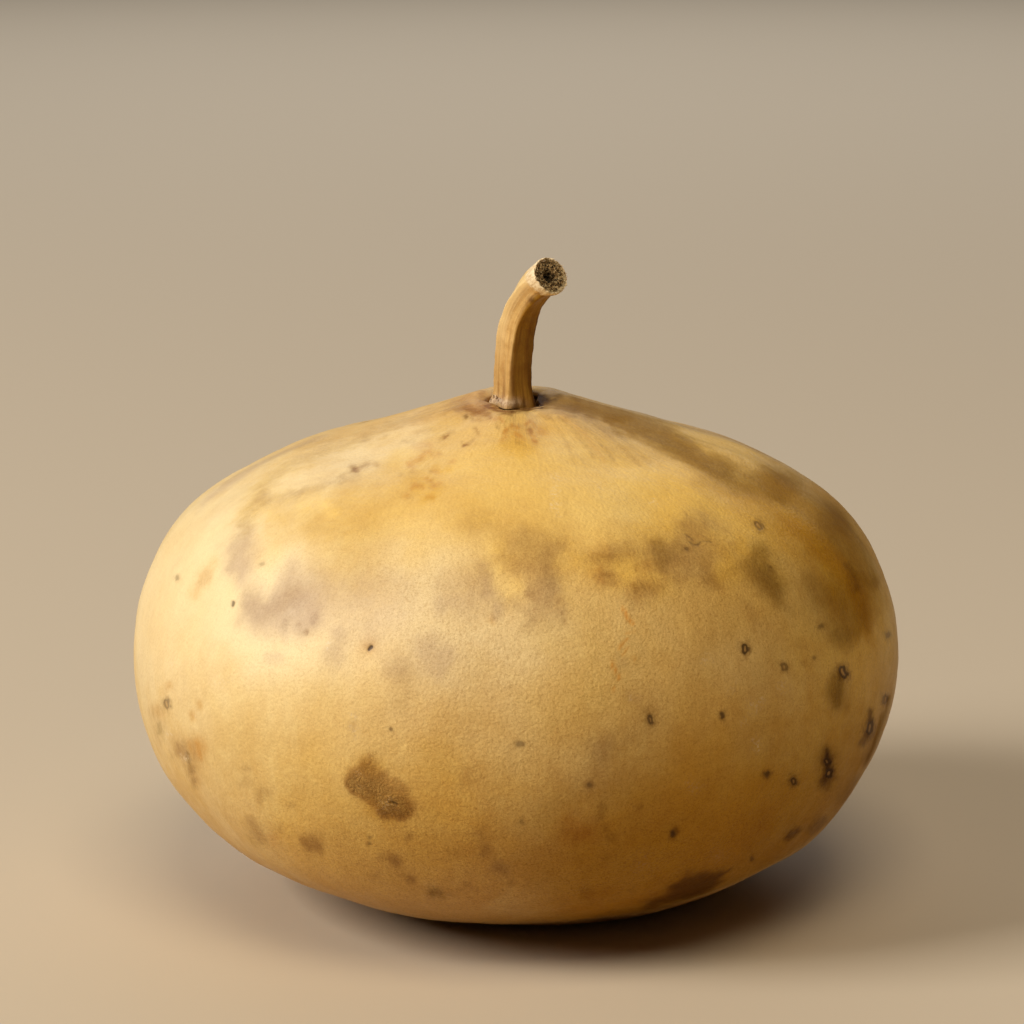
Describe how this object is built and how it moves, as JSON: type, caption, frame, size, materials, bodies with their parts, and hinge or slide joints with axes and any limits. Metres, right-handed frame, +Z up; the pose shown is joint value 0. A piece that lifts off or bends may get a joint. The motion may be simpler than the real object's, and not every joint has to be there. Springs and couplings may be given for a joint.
{
  "type": "dried canteen gourd",
  "caption": "Flat, round dried bottle gourd with a hard tan rind, a low cone of a shoulder and a short, ribbed, bent stem with a cut end; stands on a small flat spot.",
  "frame": {"origin": "on the flat spot that the gourd rests on, straight below the middle of its belly", "axes": "+Z up towards the stem, +X to the right and -Y towards the front, where the stem's cut end leans to the front right"},
  "size_m": [0.21, 0.205, 0.1763],
  "materials": {
    "rind": "satin, hard dried rind, yellow tan with grey-brown mould stains",
    "stem": "dull, fibrous dried stalk"
  },
  "bodies": {
    "root": {"gourd": "rind", "stem": "stem"}
  },
  "joints": []
}
